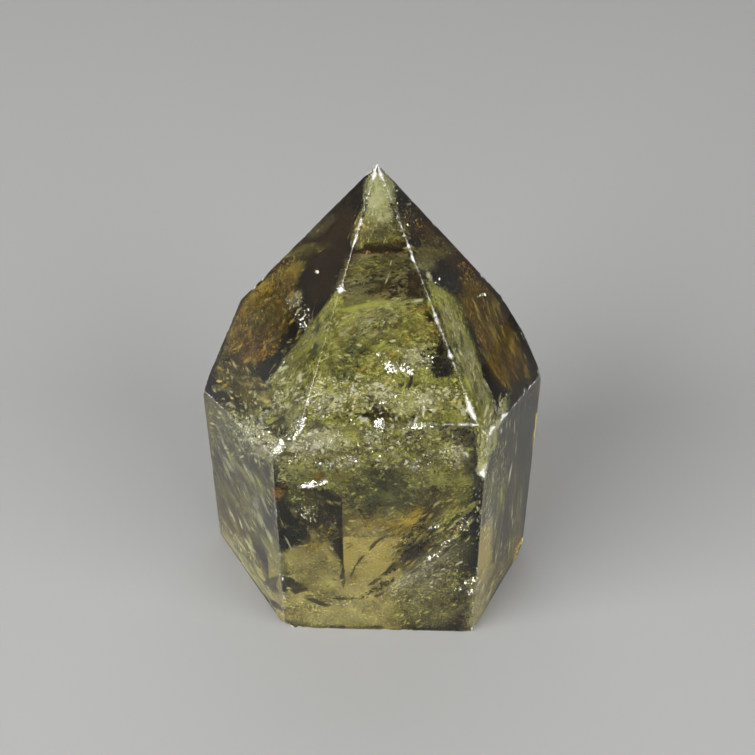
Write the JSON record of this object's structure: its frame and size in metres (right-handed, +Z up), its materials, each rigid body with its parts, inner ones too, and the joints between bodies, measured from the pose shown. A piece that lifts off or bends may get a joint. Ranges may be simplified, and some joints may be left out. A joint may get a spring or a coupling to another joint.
{
  "type": "citrine crystal point",
  "caption": "Polished citrine crystal point: an upright faceted prism that tapers to a sharp tip, cut flat underneath so that it stands by itself as a display piece.",
  "frame": {"origin": "middle of the bounding box at the flat base", "axes": "+Z up through the tip, -Y towards the front face of the prism, +X to the right seen from the front"},
  "size_m": [0.0376, 0.0294, 0.0518],
  "materials": {
    "citrine": "polished, see-through smoky yellow-brown quartz with cloudy veils and fractures inside"
  },
  "bodies": {
    "root": {"citrine_point": "citrine"}
  },
  "joints": []
}
